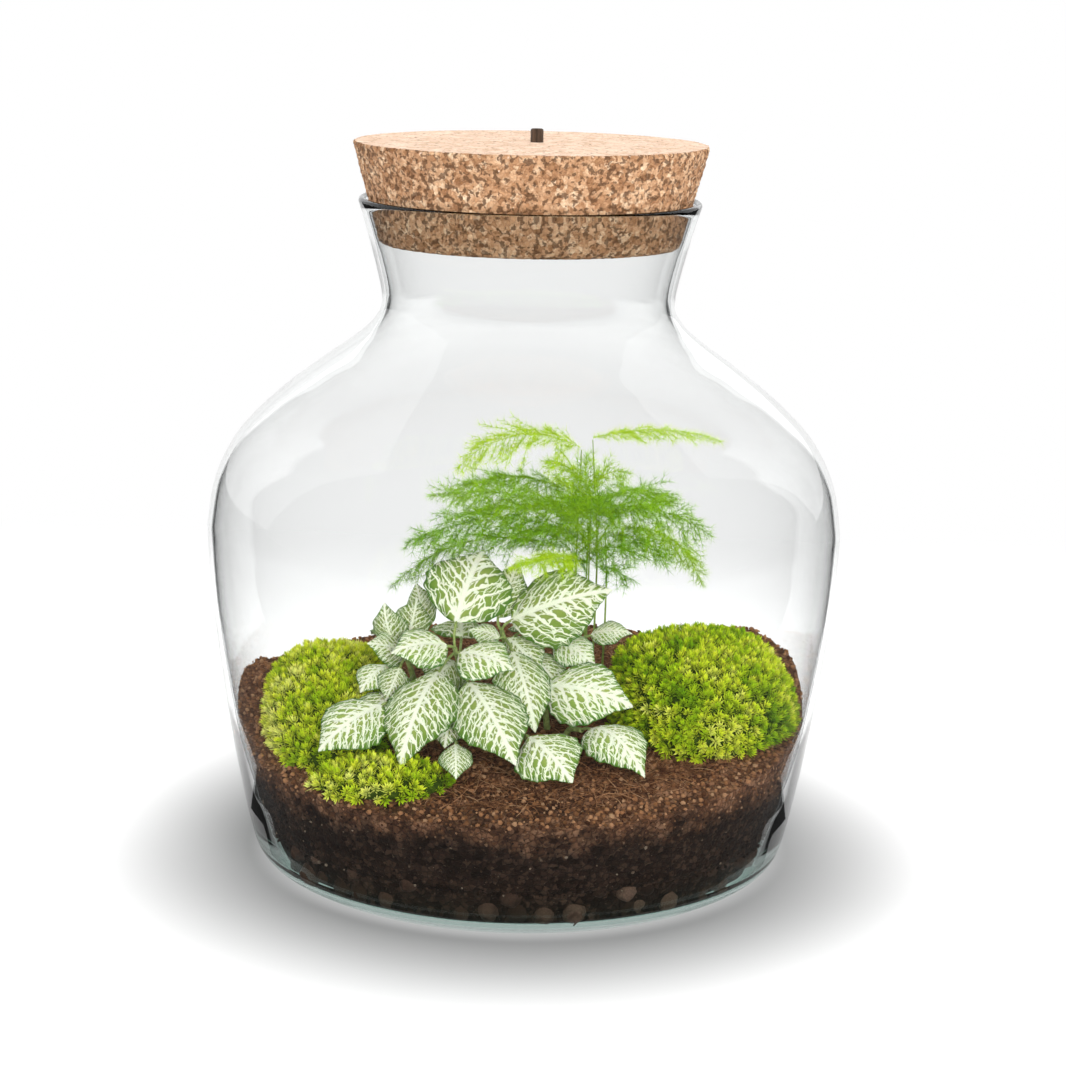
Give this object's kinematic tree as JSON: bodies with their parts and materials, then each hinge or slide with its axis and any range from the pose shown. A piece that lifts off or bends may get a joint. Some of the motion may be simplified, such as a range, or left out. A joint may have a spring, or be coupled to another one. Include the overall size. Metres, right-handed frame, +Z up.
{
  "type": "planted glass terrarium",
  "caption": "Round-shouldered clear glass jar closed by a wide cork, planted inside with moss, a white-veined trailing plant and a feathery fern on dark soil over clay pebbles.",
  "frame": {"origin": "centre of the jar's foot, on the surface that it stands on", "axes": "+Z up through the jar's neck, -Y towards the side from which the white-veined plant is seen in front, +X to that viewer's right"},
  "size_m": [0.25, 0.25, 0.2882],
  "materials": {
    "clear_glass": "clear, polished, faint green in its thick parts",
    "pressed_cork": "granulated cork, sanded flat on top, pitted sides",
    "dark_wood": "dark, matte",
    "potting_soil": "crumbly, fibrous, matte",
    "fired_clay": "unglazed, rounded, matte",
    "cushion_moss": "soft shoots, matte",
    "nerve_leaf": "thin leaf, satin, green with a net of white veins",
    "nerve_stem": "soft stem, matte",
    "fern_spray": "fine green needles",
    "fern_stem": "thin stem, matte"
  },
  "bodies": {
    "root": {"glass_jar": "clear_glass", "cork_stopper": "pressed_cork", "cork_peg": "dark_wood", "clay_pebbles": "fired_clay", "potting_soil": "potting_soil", "fern_frond_back": "fern_spray", "fern_frond_back_left": "fern_spray", "fern_frond_back_right": "fern_spray", "fern_frond_front": "fern_spray", "fern_frond_left_high": "fern_spray", "fern_frond_left_low": "fern_spray", "fern_frond_left_mid": "fern_spray", "fern_frond_right_high": "fern_spray", "fern_frond_right_mid": "fern_spray", "fern_frond_top_left": "fern_spray", "fern_frond_top_right": "fern_spray", "fern_frond_upright": "fern_spray", "fern_stem_back": "fern_stem", "fern_stem_left": "fern_stem", "fern_stem_right": "fern_stem", "fern_stem_top_left": "fern_stem", "fern_stem_top_right": "fern_stem", "fern_stem_upright": "fern_stem", "moss_cushion_left": "cushion_moss", "moss_cushion_right": "cushion_moss", "moss_tuft_front": "cushion_moss", "nerve_leaf_bottom_centre": "nerve_leaf", "nerve_leaf_bottom_left": "nerve_leaf", "nerve_leaf_bottom_right": "nerve_leaf", "nerve_leaf_crown_back": "nerve_leaf", "nerve_leaf_crown_left": "nerve_leaf", "nerve_leaf_crown_right": "nerve_leaf", "nerve_leaf_far_left": "nerve_leaf", "nerve_leaf_front_centre": "nerve_leaf", "nerve_leaf_front_left": "nerve_leaf", "nerve_leaf_left_behind": "nerve_leaf", "nerve_leaf_left_inner": "nerve_leaf", "nerve_leaf_left_low": "nerve_leaf", "nerve_leaf_left_tall": "nerve_leaf", "nerve_leaf_left_under": "nerve_leaf", "nerve_leaf_middle_front": "nerve_leaf", "nerve_leaf_middle_high": "nerve_leaf", "nerve_leaf_middle_small": "nerve_leaf", "nerve_leaf_rear_centre": "nerve_leaf", "nerve_leaf_rear_left": "nerve_leaf", "nerve_leaf_rear_right": "nerve_leaf", "nerve_leaf_right_back": "nerve_leaf", "nerve_leaf_right_folded": "nerve_leaf", "nerve_leaf_right_high": "nerve_leaf", "nerve_leaf_right_low": "nerve_leaf", "nerve_stem_crown": "nerve_stem", "nerve_stem_left": "nerve_stem", "nerve_stem_middle": "nerve_stem", "nerve_stem_right": "nerve_stem", "nerve_stem_trailing": "nerve_stem"}
  },
  "joints": []
}
